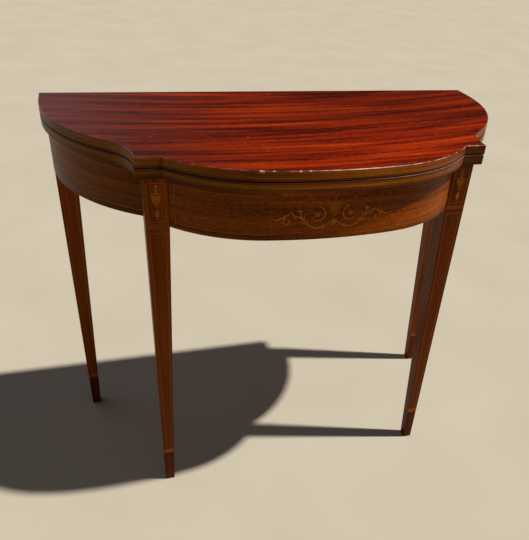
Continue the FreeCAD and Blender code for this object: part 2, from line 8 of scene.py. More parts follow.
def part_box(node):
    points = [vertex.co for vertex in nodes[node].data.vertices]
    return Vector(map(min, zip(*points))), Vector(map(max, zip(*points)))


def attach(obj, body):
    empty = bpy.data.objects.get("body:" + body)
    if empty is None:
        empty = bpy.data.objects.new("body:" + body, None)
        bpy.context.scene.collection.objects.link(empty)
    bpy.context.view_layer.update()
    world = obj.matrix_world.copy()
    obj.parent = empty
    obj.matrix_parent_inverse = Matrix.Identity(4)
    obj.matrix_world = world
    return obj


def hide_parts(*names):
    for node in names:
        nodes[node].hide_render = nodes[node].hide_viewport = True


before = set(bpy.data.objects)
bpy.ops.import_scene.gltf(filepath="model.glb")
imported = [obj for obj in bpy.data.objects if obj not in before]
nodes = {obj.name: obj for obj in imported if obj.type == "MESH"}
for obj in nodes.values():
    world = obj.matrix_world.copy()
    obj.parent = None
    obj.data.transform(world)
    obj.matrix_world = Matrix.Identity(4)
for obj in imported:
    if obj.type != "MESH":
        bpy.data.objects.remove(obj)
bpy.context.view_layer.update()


# Carcase: the back rail, the knuckle block, the corner blocks, the brace and the two fly rails.
# Straight-grained beech and pine, planed and left without polish, as none of it shows when shut.
# They are glued, housed and screwed together, and the fly rails turn on wooden knuckles.
class Wire:
    """A socket in a node tree, so that sums of values can be written as sums."""

    def __init__(self, tree_nodes, socket):
        self.tree_nodes = tree_nodes
        self.socket = socket

    def worked(self, operation, first, second):
        return self.tree_nodes.add("ShaderNodeMath", {"operation": operation},
                                   {0: first, 1: second})

    def __add__(self, other):
        return self.worked("ADD", self, other)

    def __sub__(self, other):
        return self.worked("SUBTRACT", self, other)

    def __rsub__(self, other):
        return self.worked("SUBTRACT", other, self)

    def __mul__(self, other):
        return self.worked("MULTIPLY", self, other)

    __radd__ = __add__
    __rmul__ = __mul__


class TreeNodes:
    """The nodes of one tree, each made by one call with its settings and what goes into it."""

    def __init__(self, tree):
        self.tree = tree

    def add(self, kind, settings=None, sockets=None, output=0):
        node = self.tree.nodes.new(kind)
        for key, value in (settings or {}).items():
            if key == "stops":
                stops = node.color_ramp.elements
                while len(stops) < len(value):
                    stops.new(0.5)
                for stop, (position, colour) in zip(stops, value):
                    stop.position = position
                    stop.color = (*colour, 1.0)
            else:
                setattr(node, key, value)
        for key, value in (sockets or {}).items():
            if isinstance(value, Wire):
                self.tree.links.new(value.socket, node.inputs[key])
            else:
                node.inputs[key].default_value = value
        return Wire(self, node.outputs[output]) if len(node.outputs) else None


def new_finish(name, fixed):
    """An empty material: its nodes, and a function that closes it with the varying sockets."""
    material = bpy.data.materials.new(name)
    material.use_nodes = True
    material.node_tree.nodes.clear()
    made = TreeNodes(material.node_tree)

    def close(varying):
        surface = made.add("ShaderNodeBsdfPrincipled", None, {**fixed, **varying})
        made.add("ShaderNodeOutputMaterial", None, {"Surface": surface})
        return material

    return made, close


def between(made, value, low, high):
    """Rises smoothly from 0 where the value is low to 1 where it is high, even if low is more."""
    start, end = (0.0, 1.0) if low < high else (1.0, 0.0)
    return made.add("ShaderNodeMapRange", {"interpolation_type": "SMOOTHSTEP"},
                    {"Value": value, "From Min": min(low, high), "From Max": max(low, high),
                     "To Min": start, "To Max": end})


def along_axis(made, place, axis):
    return made.add("ShaderNodeSeparateXYZ", None, {"Vector": place}, output=axis)


def wood(name, tones, along, ribbon, pore, roughness, bump, fixed, drift=0.0, sweep=None,
         flecks=0.12, wear_and_shading=()):
    """Wood with its grain along some axes: broad ribbons with finer streaks, flecks and pores.

    ribbon and pore are each a width and a length, and drift shifts the figure along the board.
    sweep gives the slope of the grain in the middle of a board and how fast it grows along X, and
    flecks the share of the figure that is short flecks. Each function in ageing takes the nodes,
    the place and the colour, and gives the colour with worn or darker places, or with painted shade
    and highlights."""
    made, close = new_finish(name, fixed)
    board = place = made.add("ShaderNodeTexCoord", output="Object")
    if sweep:
        x, y, z = (along_axis(made, place, axis) for axis in "XYZ")
        board = made.add("ShaderNodeCombineXYZ", None,
                         {"X": x, "Y": y - x * (sweep[0] + x * sweep[1]), "Z": z})

    def streaks(width, length, detail, bend):
        stretch = [1 / length if axis in along else 1 / width for axis in "xyz"]
        space = made.add("ShaderNodeMapping", None,
                         {"Vector": board, "Location": (drift, drift, drift), "Scale": stretch})
        return made.add("ShaderNodeTexNoise", None,
                        {"Vector": space, "Scale": 1.0, "Detail": detail, "Roughness": 0.58,
                         "Distortion": bend})

    cloud = streaks(ribbon[0] * 4.5, ribbon[1] * 1.2, detail=1.0, bend=0.2)
    broad = streaks(*ribbon, detail=3.0, bend=0.45)
    fine = streaks(ribbon[0] * 0.22, ribbon[1] * 0.5, detail=3.0, bend=0.2)
    fleck = streaks(pore[0] * 4.0, pore[1] * 0.8, detail=2.0, bend=0.3)
    pores = streaks(*pore, detail=2.0, bend=0.0)
    figure = cloud * 0.2 + broad * (0.58 - flecks) + fine * 0.17 + fleck * flecks + pores * 0.05
    colour = made.add("ShaderNodeValToRGB", {"stops": tones}, {"Fac": figure})
    for apply_mark in wear_and_shading:
        colour = apply_mark(made, place, colour)
    rough = roughness[0] + pores * (roughness[1] - roughness[0])
    normal = made.add("ShaderNodeBump", None,
                      {"Strength": bump, "Distance": 0.0003, "Height": pores})
    return close({"Base Color": colour, "Roughness": rough, "Normal": normal})


def dress(node, finish):
    """A CAD node that keeps its own shape gets its finish."""
    for holder in nodes[node].material_slots:
        holder.material = finish


RAW = {"Specular IOR Level": 0.3}
beech_tones = [(0.25, (0.23, 0.115, 0.045)), (0.5, (0.36, 0.195, 0.082)),
               (0.75, (0.46, 0.27, 0.125))]
beech = wood("beech", beech_tones, "x", ribbon=(0.007, 0.3), pore=(0.0006, 0.006),
             roughness=(0.55, 0.75), bump=0.35, fixed=RAW)
for rail in ("hinge_block", "left_fly_rail", "right_fly_rail"):
    dress(rail, beech)
pine_tones = [(0.25, (0.21, 0.1, 0.034)), (0.5, (0.4, 0.215, 0.083)), (0.72, (0.5, 0.3, 0.13))]
for finish_name, along, ribbon_size, drift, boards in (
        ("pine_along_rail", "x", (0.012, 0.6), 4.0, ["back_rail"]),
        ("pine_along_brace", "y", (0.012, 0.6), 7.0, ["medial_brace"]),
        ("pine_upright", "z", (0.01, 0.4), 2.0, ["left_corner_block", "right_corner_block"])):
    pine = wood(finish_name, pine_tones, along, ribbon_size, pore=(0.0009, 0.03),
                roughness=(0.6, 0.78), bump=0.3, fixed=RAW, drift=drift)
    for board in boards:
        dress(board, pine)


# Frieze: the bowed front and the two curved ends, built up in pine and faced with mahogany veneer.
# The veneer is laid with its grain level, polished, and browner than the top.
# Tenons hold the three to the front legs.
POLISH = {"Coat Weight": 0.015, "Coat Roughness": 0.22, "Specular IOR Level": 0.1,
          "Specular Tint": (1.0, 0.72, 0.28, 1.0)}
panel_z = (0.6225, 0.6893)


def tinted(made, colour, where, tint):
    """The colour, multiplied by a tint as far as where is 1."""
    return made.add("ShaderNodeMix", {"data_type": "RGBA", "blend_type": "MULTIPLY"},
                    {"Factor": where, 6: colour, 7: (*tint, 1.0)}, output=2)


def shade_under_leaf_and_border(made, place, colour):
    """On the left of the bow: painted shade on the strip under the leaf, and a darker strip below.
    """
    x, y, z = (along_axis(made, place, axis) for axis in "XYZ")
    low, high = panel_z
    above = between(made, z, high, high + 0.001)
    below = between(made, z, low, low - 0.001) * between(made, z, 0.6145, 0.6175)
    strips = (above + below) * between(made, x, -0.085, -0.1) * between(made, y, -0.11, -0.12)
    return tinted(made, colour, strips, (0.55, 0.5, 0.6))


def painted_shade_by_leg(made, place, colour):
    """Painted shade, darker and cooler, on the left end of the frieze next to the front leg."""
    x, y = (along_axis(made, place, axis) for axis in "XY")
    end = between(made, x, -0.262, -0.27) * between(made, y, 0.05, -0.09)
    return tinted(made, colour, end, (0.6, 0.68, 1.2))


def painted_shade_to_left(start_x, end_x, dark_tint):
    """Painted shade: the left end, the side away from the light, is darker and cooler in tone."""
    def apply_mark(made, place, colour):
        dark_end = between(made, along_axis(made, place, "X"), start_x, end_x)
        return tinted(made, colour, dark_end, dark_tint)
    return apply_mark


frieze_tones = [(0.4, (0.06, 0.0085, 0.0003)), (0.46, (0.145, 0.0245, 0.0007)),
                (0.53, (0.21, 0.04, 0.0011)), (0.61, (0.34, 0.074, 0.002))]
# Painted shade on the frieze, darker and cooler to the left and by the front leg, and the darker
# strips round the panel.
frieze_shade_and_border = [painted_shade_to_left(0.02, -0.2, (0.72, 0.76, 1.0)), shade_under_leaf_and_border, painted_shade_by_leg]
frieze_veneer = wood("frieze_veneer", frieze_tones, "xy", ribbon=(0.016, 0.32),
                     pore=(0.0006, 0.0085), roughness=(0.32, 0.48), bump=0.12, fixed=POLISH,
                     flecks=0.27, wear_and_shading=frieze_shade_and_border)


def eased(name, node, width, finish, body, finish_of_face=None, moulded=None):
    """A copy of a CAD piece with its long edges eased. Some faces may have a finish of their own.

    moulded is a function that shapes the copy further before its edges are eased."""
    sharp = math.radians(32)
    mesh = nodes[node].data.copy()
    shape = bmesh.new()
    shape.from_mesh(mesh)
    bmesh.ops.remove_doubles(shape, verts=shape.verts, dist=0.000002)
    bmesh.ops.dissolve_limit(shape, angle_limit=math.radians(0.2), verts=shape.verts,
                             edges=shape.edges)
    if moulded:
        moulded(shape)
    shape.to_mesh(mesh)
    shape.free()
    mesh.materials.clear()
    mesh.materials.append(finish)
    if finish_of_face:
        finishes = [finish]
        for face in mesh.polygons:
            own = finish_of_face(face) or finish
            if own not in finishes:
                finishes.append(own)
                mesh.materials.append(own)
            face.material_index = finishes.index(own)
    mesh.shade_smooth()
    mesh.set_sharp_from_angle(angle=sharp)
    piece = bpy.data.objects.new(name, mesh)
    bpy.context.scene.collection.objects.link(piece)
    ease = piece.modifiers.new("eased edges", "BEVEL")
    ease.width = width
    ease.segments = 2
    ease.limit_method = "ANGLE"
    ease.angle_limit = sharp
    ease.use_clamp_overlap = True
    piece.modifiers.new("no doubled corners", "WELD").merge_threshold = 0.000001
    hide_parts(node)
    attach(piece, body)


for apron in ("bow_apron", "left_side_apron", "right_side_apron"):
    eased(f"{apron}_veneered", apron, 0.0005, frieze_veneer, "frame")


# Legs: four square posts of solid mahogany, each with two upright faces and two that taper.
# A band of satinwood, cut across the grain, is let in round each leg above its foot, which has
# gone darker.
def darker_foot(made, place, colour):
    foot = between(made, along_axis(made, place, "Z"), 0.082, 0.081)
    return tinted(made, colour, foot, (0.62, 0.44, 0.5))


def darker_post(made, place, colour):
    """The front right leg was cut from a darker board than the others."""
    x, y = (along_axis(made, place, axis) for axis in "XY")
    post = between(made, x, 0.24, 0.26) * between(made, y, 0.0, -0.05)
    return tinted(made, colour, post, (0.74, 0.66, 0.6))


leg_tones = [(0.36, (0.08, 0.0115, 0.0003)), (0.46, (0.13, 0.022, 0.0006)),
             (0.55, (0.175, 0.0325, 0.0009)), (0.66, (0.23, 0.048, 0.0014))]
leg_mahogany = wood("leg_mahogany", leg_tones, "z", ribbon=(0.009, 0.35), pore=(0.0006, 0.01),
                    roughness=(0.32, 0.48), bump=0.14, fixed=POLISH, drift=1.5,
                    wear_and_shading=[darker_foot, darker_post])
cuff_tones = [(0.32, (0.2, 0.043, 0.002)), (0.5, (0.27, 0.064, 0.003)),
              (0.68, (0.34, 0.09, 0.0045))]
cuff_satinwood = wood("cuff_satinwood", cuff_tones, "xy", ribbon=(0.0022, 0.03),
                      pore=(0.0005, 0.004), roughness=(0.3, 0.42), bump=0.1, fixed=POLISH)


def cuff_face(corner):
    """The cuff shows as satinwood in front and outside, and its other sides are stained."""
    outside = -1 if "left" in corner else 1

    def finish_of(face):
        shows = face.normal.y < -0.9 or face.normal.x * outside > 0.9
        return cuff_satinwood if shows else None
    return finish_of


body_of_leg = {"front_left": "frame", "front_right": "frame",
               "rear_left": "left_gate", "rear_right": "right_gate"}
for corner, body in body_of_leg.items():
    eased(f"{corner}_leg_polished", f"{corner}_leg", 0.0007, leg_mahogany, body)
    eased(f"{corner}_cuff_band", f"{corner}_cuff", 0.0002, leg_mahogany, body,
          cuff_face(corner))


# Stringing: thin lines of boxwood, glued in grooves round the panels of the frieze and of the legs.
# On each front leg a level crossband of lighter mahogany parts the urn's panel from the long one
# below it.
def new_tree(name, inputs, output):
    """An empty tree of Geometry Nodes: its nodes, and a function that gives a named input."""
    tree = bpy.data.node_groups.new(name, "GeometryNodeTree")
    for label, kind in inputs.items():
        tree.interface.new_socket(label, in_out="INPUT", socket_type=f"NodeSocket{kind}")
    tree.interface.new_socket(output, in_out="OUTPUT", socket_type="NodeSocketGeometry")
    made = TreeNodes(tree)
    return made, lambda label: made.add("NodeGroupInput", output=label)


def carried(made, label, kind):
    """A value that each point carries."""
    return made.add("GeometryNodeInputNamedAttribute", {"data_type": kind}, {"Name": label})


def inlay_tree():
    """Turns paths, which carry a width and the way their face looks, into strips let into it."""
    made, given = new_tree("inlay along a path",
                           {"Paths": "Geometry", "Step": "Float", "Sunk": "Float",
                            "Thickness": "Float", "Wood": "Material"}, "Inlay")

    def outwards(distance):
        return made.add("ShaderNodeVectorMath", {"operation": "SCALE"},
                        {0: carried(made, "face_out", "FLOAT_VECTOR"), "Scale": distance})

    path = made.add("GeometryNodeMeshToCurve", None, {"Mesh": given("Paths")})
    path = made.add("GeometryNodeCurveSplineType", {"spline_type": "CATMULL_ROM"}, {"Curve": path})
    path = made.add("GeometryNodeResampleCurve", {"mode": "LENGTH"},
                    {"Curve": path, "Length": given("Step")})
    path = made.add("GeometryNodeSetCurveNormal", {"mode": "FREE"},
                    {"Curve": path, "Normal": carried(made, "face_out", "FLOAT_VECTOR")})
    across = made.add("GeometryNodeCurvePrimitiveLine", None,
                      {"Start": (0.0, -0.5, 0.0), "End": (0.0, 0.5, 0.0)})
    strip = made.add("GeometryNodeCurveToMesh", None,
                     {"Curve": path, "Profile Curve": across,
                      "Scale": carried(made, "wide", "FLOAT")})
    strip = made.add("GeometryNodeSetPosition", None,
                     {"Geometry": strip, "Offset": outwards(0.0 - given("Sunk"))})
    raised = made.add("GeometryNodeExtrudeMesh", {"mode": "FACES"},
                      {"Mesh": strip, "Offset": outwards(given("Thickness")),
                       "Offset Scale": 1.0, "Individual": False})
    under = made.add("GeometryNodeFlipFaces", None, {"Mesh": strip})
    whole = made.add("GeometryNodeJoinGeometry", None, {"Geometry": raised})
    made.tree.links.new(under.socket, whole.socket.node.inputs[0])
    whole = made.add("GeometryNodeMergeByDistance", None,
                     {"Geometry": whole, "Distance": 0.000004})
    whole = made.add("GeometryNodeRealizeInstances", None, {"Geometry": whole})
    whole = made.add("GeometryNodeSetMaterial", None,
                     {"Geometry": whole, "Material": given("Wood")})
    made.add("NodeGroupOutput", None, {"Inlay": whole})
    return made.tree


def grown(name, base, tree, values):
    """The plain mesh that a tree of Geometry Nodes makes from base, as a new piece."""
    grower = bpy.data.objects.new(f"{name}_path", base)
    bpy.context.scene.collection.objects.link(grower)
    modifier = grower.modifiers.new("grown", "NODES")
    modifier.node_group = tree
    for item in tree.interface.items_tree:
        if item.in_out == "INPUT" and item.name in values:
            modifier[item.identifier] = values[item.name]
    seen = grower.evaluated_get(bpy.context.evaluated_depsgraph_get())
    mesh = bpy.data.meshes.new_from_object(seen)
    grower.modifiers.remove(modifier)
    bpy.data.objects.remove(grower)
    shape = bmesh.new()
    shape.from_mesh(mesh)
    bmesh.ops.recalc_face_normals(shape, faces=shape.faces)
    shape.to_mesh(mesh)
    shape.free()
    mesh.set_sharp_from_angle(angle=math.radians(30))
    piece = bpy.data.objects.new(name, mesh)
    bpy.context.scene.collection.objects.link(piece)
    return piece


def carry_faces(mesh, ways):
    """Each point of a mesh carries the way that the face under it looks."""
    mesh.attributes.new("face_out", "FLOAT_VECTOR", "POINT").data.foreach_set(
        "vector", [number for way in ways for number in way])


def path_mesh(name, runs):
    """Runs as bare edges. A run is a list of (place, way that the face looks, width, shade)."""
    mesh = bpy.data.meshes.new(name)
    edges, first = [], 0
    for run in runs:
        edges += [(first + i, first + i + 1) for i in range(len(run) - 1)]
        first += len(run)
    places, ways, widths, shades = zip(*(point for run in runs for point in run))
    mesh.from_pydata(places, edges, [])
    carry_faces(mesh, ways)
    for label, values in (("wide", widths), ("shade", shades)):
        mesh.attributes.new(label, "FLOAT", "POINT").data.foreach_set("value", values)
    return mesh


inlay = inlay_tree()


def inlaid(name, runs, finish, body, step=0.004, sunk=0.0004, thickness=0.00046):
    piece = grown(name, path_mesh(name, runs), inlay,
                  {"Step": step, "Sunk": sunk, "Thickness": thickness, "Wood": finish})
    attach(piece, body)


# Seen from above, arcs round these centres make the bow, each of its ends and each table end.
bow_centre, bow_end_centre, end_centre = (0.0, 0.5748), (0.0782, 0.0425), (0.138, 0.1808)


def bow_face(x, z):
    """A place on the front of the bow and the way that it looks."""
    middle_radius, end_radius, change_x = 0.791, 0.253, 0.11497
    (centre_x, centre_y), radius = bow_centre, middle_radius
    if abs(x) > change_x:
        centre_x, centre_y = math.copysign(bow_end_centre[0], x), bow_end_centre[1]
        radius = end_radius
    y = centre_y - math.sqrt(radius ** 2 - (x - centre_x) ** 2)
    return Vector((x, y, z)), Vector((x - centre_x, y - centre_y, 0.0)).normalized()


def end_face(side, angle, z):
    """A place on a curved end of the frieze, by its angle round the arc's centre."""
    centre, radius = Vector((side * end_centre[0], end_centre[1], z)), 0.31
    out = Vector((side * math.cos(angle), math.sin(angle), 0.0))
    return centre + out * radius, out


def line(places, width):
    return [(place, out, width, 0.0) for place, out in places]


def shared_out(first, last, count):
    """Numbers in even steps from first to last."""
    return [first + (last - first) * i / count for i in range(count + 1)]


def painted_shade_on_strings(made, place, colour):
    """Painted shade under the leaf dims the upper lines on the right of the bow and most of the
    left waist.
    """
    x, y, z = (along_axis(made, place, axis) for axis in "XYZ")
    right = (between(made, x, 0.06, 0.09) * between(made, x, 0.258, 0.254)
             * between(made, z, 0.624, 0.63))
    waisted = between(made, x, -0.1125, -0.111) * between(made, x, -0.0965, -0.098)
    waisted = waisted * (0.3 + 0.5 * between(made, z, 0.656, 0.668))
    hidden = (right * 0.75 + waisted) * between(made, y, -0.12, -0.13)
    return tinted(made, colour, hidden, (0.5, 0.46, 0.5))


STRING = 0.0009
boxwood_tones = [(0.32, (0.21, 0.052, 0.002)), (0.5, (0.28, 0.078, 0.0034)),
                 (0.68, (0.36, 0.11, 0.006))]
boxwood = wood("boxwood", boxwood_tones, "xyz", ribbon=(0.004, 0.01), pore=(0.0005, 0.002),
               roughness=(0.32, 0.46), bump=0.05, fixed=POLISH, drift=3.0, wear_and_shading=[painted_shade_on_strings])
end_of_bow_x, waist_x, flare = 0.2525, 0.109, 0.012
end_angles = (math.radians(-58.5), math.radians(-6.5))
middle_z, half_z = sum(panel_z) / 2, (panel_z[1] - panel_z[0]) / 2
frieze_runs = []
for side in (-1, 1):
    for z in panel_z:
        frieze_runs.append(line([bow_face(side * x, z)
                                 for x in shared_out(waist_x - flare, end_of_bow_x, 24)], STRING))
    frieze_runs.append(line([bow_face(side * (waist_x - flare * (i / 6) ** 2),
                                      middle_z + half_z * i / 6) for i in range(-6, 7)], STRING))
    frieze_runs.append(line([bow_face(side * end_of_bow_x, z) for z in shared_out(*panel_z, 8)],
                            STRING))
    for z in panel_z:
        frieze_runs.append(line([end_face(side, angle, z)
                                 for angle in shared_out(*end_angles, 24)], STRING))
    for angle in end_angles:
        frieze_runs.append(line([end_face(side, angle, z) for z in shared_out(*panel_z, 8)],
                                STRING))
inlaid("frieze_stringing", frieze_runs, boxwood, "frame")

LEG_TOP, LEG_FOOT, APRON_LOW = 0.04, 0.0185, 0.6116
LEG_STRING, leg_inset = STRING * 0.9, 0.0058


def leg_width(z):
    return LEG_FOOT + (LEG_TOP - LEG_FOOT) * min(z / APRON_LOW, 1.0)


def leg_front(corner):
    """A function for places on the front of a leg: from its outer edge inwards, at a height."""
    side = -1 if "left" in corner else 1
    low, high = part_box(f"{corner}_leg")
    outer = low.x if side < 0 else high.x

    def place(inwards, z):
        return Vector((outer - side * inwards, low.y, z)), Vector((0.0, -1.0, 0.0))

    return place


def panel_runs(place, low_z, high_z):
    """The four lines of a panel on a leg, nearer to its inner edge as the leg gets narrower."""
    def edge(z):
        return leg_inset, leg_width(z) - leg_inset * (0.55 + 0.45 * leg_width(z) / LEG_TOP)

    runs = [line([place(edge(z)[i], z) for z in shared_out(low_z, high_z, 8)], LEG_STRING)
            for i in (0, 1)]
    for z in (low_z, high_z):
        runs.append(line([place(inwards, z) for inwards in shared_out(*edge(z), 4)], LEG_STRING))
    return runs


crossband_tones = [(0.32, (0.11, 0.0235, 0.001)), (0.5, (0.155, 0.036, 0.0016)),
                   (0.68, (0.2, 0.052, 0.0026))]
crossband = wood("crossband", crossband_tones, "xy", ribbon=(0.0015, 0.02), pore=(0.0005, 0.004),
                 roughness=(0.3, 0.44), bump=0.08, fixed=POLISH, drift=6.0)
low_panel_z, urn_panel_z, band_z = (0.0965, 0.602), (0.6227, 0.69), (0.6101, 0.6179)
band_inset = 0.0009
for corner, body in body_of_leg.items():
    place = leg_front(corner)
    runs = panel_runs(place, *low_panel_z)
    if body == "frame":
        runs += panel_runs(place, *urn_panel_z)
        across = [place(inwards, sum(band_z) / 2)
                  for inwards in shared_out(band_inset, LEG_TOP - band_inset, 4)]
        inlaid(f"{corner}_crossband", [line(across, band_z[1] - band_z[0])], crossband,
               body)
    inlaid(f"{corner}_stringing", runs, boxwood, body)


# Marquetry: an urn between leafy scrolls in the middle of the frieze, and a small urn at the head
# of each front leg. Satinwood and boxwood, sawn out, shaded at the edges in hot sand, and let into
# the veneer.
def covered(made, colour, where, other):
    """The colour, with another one in its place as far as where is 1."""
    return made.add("ShaderNodeMix", {"data_type": "RGBA"},
                    {"Factor": where, 6: colour, 7: (*other, 1.0)}, output=2)


def marquetry_wood():
    made, close = new_finish("marquetry_satinwood", POLISH)
    place = made.add("ShaderNodeTexCoord", output="Object")
    # The shade attribute scorches the pieces as hot sand does, and on a few pieces high under the
    # leaf it paints shade.
    scorch_and_shade = made.add("ShaderNodeAttribute", {"attribute_name": "shade"}, output="Fac")
    figure = made.add("ShaderNodeTexNoise", None, {"Vector": place, "Scale": 420.0, "Detail": 3.0})
    tones = [(0.32, (0.35, 0.094, 0.0028)), (0.68, (0.46, 0.145, 0.006))]
    clear = made.add("ShaderNodeValToRGB", {"stops": tones}, {"Fac": figure})
    burnt_and_shaded = covered(made, clear, scorch_and_shade, (0.17, 0.036, 0.0012))
    return close({"Base Color": burnt_and_shaded, "Roughness": 0.3 + figure * 0.14})


marquetry = marquetry_wood()
TIP = 0.0003


def ribbon(spine, widths, shades):
    """Points (x, z) in millimetres along the middle of a strip, each with a width and a shade."""
    return [(x * 0.001, z * 0.001, max(width * 0.001, TIP), shade)
            for (x, z), width, shade in zip(spine, widths, shades)]


def leaf(x, z, angle, length, width, curl, shades=(0.6, 0.0)):
    """A leaf that grows from (x, z), shaded from root to tip; curl bends the tip to the left."""
    count = 8
    spine, widths, burns = [], [], []
    for i in range(count + 1):
        t = i / count
        turn = math.radians(angle) + math.radians(curl) * t
        spine.append((x + length * t * math.cos(turn), z + length * t * math.sin(turn)))
        widths.append(width * math.sin(math.pi * (0.1 + 0.86 * t)) ** 0.6)
        burns.append(shades[0] + (shades[1] - shades[0]) * t)
    return ribbon(spine, widths, burns)


def spiral(x, z, radii, angles, widths, shades=(0.1, 0.4)):
    """A stem that winds round (x, z), with values for its two ends, and a third width midway."""
    count = 16
    half = count // 2
    spine = []
    for angle, radius in zip(shared_out(*angles, count), shared_out(*radii, count)):
        turn = math.radians(angle)
        spine.append((x + radius * math.cos(turn), z + radius * math.sin(turn)))
    swell = shared_out(*widths[:2], half)[:-1] + shared_out(*widths[1:], half)
    return ribbon(spine, swell, shared_out(*shades, count))


def turned(x, profile, shade):
    """A shape that is the same both sides of an upright at x: its rows are (height, half width)."""
    return ribbon([(x, z) for z, _ in profile], [2 * half for _, half in profile],
                  [shade] * len(profile))


def rosette(x, z, size):
    return [leaf(x, z, 72 * i + 18, size, size * 0.78, 0.0, (0.9, 0.1)) for i in range(5)]


def urn(x, rim_z, foot_z, half, bowl_shade, finial, finial_shade):
    """An urn: a bar for its rim, a fluted bowl, a foot, and a finial, as (rise, half width)."""
    deep = rim_z - foot_z
    bowl = ((0.12, 0.86), (0.24, 0.83), (0.44, 0.72), (0.64, 0.57), (0.8, 0.38), (0.88, 0.22))
    shapes = [turned(x, [(rim_z - 0.6, half), (rim_z + 0.6, half)], 0.0)]
    shapes.append(turned(x, [(rim_z - deep * share, half * width) for share, width in bowl],
                         bowl_shade))
    for lean in (-1, 0, 1):
        shapes.append(leaf(x + lean * half * 0.13, rim_z - deep * 0.84, 90 - lean * 20,
                           deep * 0.36, half * 0.13, 0.0, (1.25, 1.1)))
    shapes.append(turned(x, [(foot_z + 0.5, half * 0.42), (foot_z - 0.5, half * 0.42)], 0.2))
    shapes.append(turned(x, [(rim_z + rise, wide) for rise, wide in finial], finial_shade))
    return shapes


def mirrored(shapes):
    return [[(-x, z, width, shade) for x, z, width, shade in shape] for shape in shapes]


def scrolls():
    """One side of the frieze's ornament, to the right of the urn."""
    stem = [(4, 645.7), (7.5, 641.5), (11.8, 638), (20.5, 633.6), (30.8, 632.8), (40.2, 636.4),
            (48, 642.2), (53.2, 648.2), (58.5, 651.7), (67, 655.2), (76.5, 663.3)]
    swell = [1.2, 1.8, 2.2, 2.7, 2.6, 2.4, 2.5, 2.4, 2.2, 2.0, 0.5]
    shapes = [ribbon(stem, swell, [0.15] * len(stem))]
    sprig = [(76, 658.6), (80, 656.8), (86, 653.4), (93, 650.2), (98.5, 648.6), (102.5, 649.4),
             (105, 651.8)]
    shapes.append(ribbon(sprig, [0.7, 2.2, 2.8, 2.5, 2.0, 1.5, 0.5], [0.1] * len(sprig)))
    shapes.append(spiral(80.2, 646.0, (7.8, 2.4), (58, -265), (1.3, 1.9, 2.4)))
    shapes.append(leaf(84.5, 654.0, -104, 5.5, 2.6, 10))
    shapes.append(spiral(28.4, 657.0, (13.4, 10.8), (98, 345), (0.9, 2.4, 0.9)))
    shapes += rosette(29.2, 656.2, 4.6)
    stalk = [(56.8, 650.6), (57.6, 654.5), (58.4, 658.5), (59.0, 662)]
    shapes.append(ribbon(stalk, [1.6, 1.3, 1.1, 1.0], [0.2] * len(stalk)))
    shapes += [leaf(59.0, 661.0, 84 + lean, 6.8 - abs(lean) * 0.02, 2.2, lean * 0.5)
               for lean in (-36, 0, 36)]
    for x, z, angle, length, width, curl in (
            (53.0, 647.6, 70, 10.5, 2.5, -10), (52.0, 646.4, 110, 12, 1.6, -14),
            (46.2, 640.2, 86, 8, 2.4, 12), (47.4, 641.4, 4, 10.5, 2.1, 12),
            (22.5, 633.6, 112, 7.5, 3.2, 44), (67.5, 655.6, 24, 9.0, 2.2, 22),
            (63.0, 653.8, -8, 8.0, 1.9, -16), (38.5, 635.6, 6, 7.0, 1.8, -20)):
        shapes.append(leaf(x, z, angle, length, width, curl))
    # The tendril and its leaves sit high under the leaf and are burnt dark all over: painted shade.
    tendril = [(29.0, 670.2), (31.5, 674.5), (35.2, 678.5), (37.4, 683.0)]
    shapes.append(ribbon(tendril, [0.8, 1.0, 0.9, 0.7], [1.0] * len(tendril)))
    shapes += [leaf(37.2, 682.4, 90 + lean, 4.2, 1.9, 0.0, (1.0, 0.8)) for lean in (-60, 0, 60)]
    return shapes


def laid(shapes, face):
    """Runs of an ornament on a face, each a hair higher than the last, so that none coincide."""
    runs, hair = [], 0.000008
    for number, shape in enumerate(shapes):
        run = []
        for x, z, width, shade in shape:
            place, out = face(x, z)
            run.append((place + out * hair * (number % 9), out, width, shade))
        runs.append(run)
    return runs


MARQUETRY_SUNK, MARQUETRY_THICKNESS = 0.0003, 0.00048
palmette = [leaf(lean * 0.05, 648.4, -90 + lean, 15.0 - abs(lean) * 0.22, 2.2, lean * 0.9,
                 (0.2, 0.0)) for lean in (-11, 11, 0)]
frieze_finial = ((1.2, 3.2), (3.0, 1.6), (7.0, 1.3), (11.0, 1.8), (13.5, 2.2))
# The frieze urn's finial is burnt dark (0.85) as painted shade under the leaf.
frieze_shapes = urn(0, 674.5, 653.0, 10.6, 0.75, frieze_finial, 0.85)
frieze_shapes += palmette + scrolls() + mirrored(scrolls())
inlaid("frieze_marquetry", laid(frieze_shapes, bow_face), marquetry, "frame",
       step=0.0012, sunk=MARQUETRY_SUNK, thickness=MARQUETRY_THICKNESS)
leg_middle = 20.3
leg_finial = ((1.2, 3.1), (4.0, 2.4), (8.7, 1.8), (12.4, 2.7), (14.6, 3.9), (15.4, 3.3))
leg_drop = ((645.6, 0.2), (641.6, 1.8), (637.2, 3.8), (632.4, 2.0), (625.8, 0.2))
leg_shapes = urn(leg_middle, 671.8, 650.2, 9.3, 0.46, leg_finial, 0.5)
leg_shapes.append(turned(leg_middle, leg_drop, 0.5))
for way in (-1, 1):
    leg_shapes.append(spiral(leg_middle + way * 8.6, 679.6, (4.6, 1.6),
                             (90 + way * 130, 90 - way * 110), (0.6, 0.9, 0.7), (0.6, 0.9)))
for corner in ("front_left", "front_right"):
    inlaid(f"{corner}_urn", laid(leg_shapes, leg_front(corner)), marquetry, "frame",
           step=0.001, sunk=MARQUETRY_SUNK, thickness=MARQUETRY_THICKNESS)


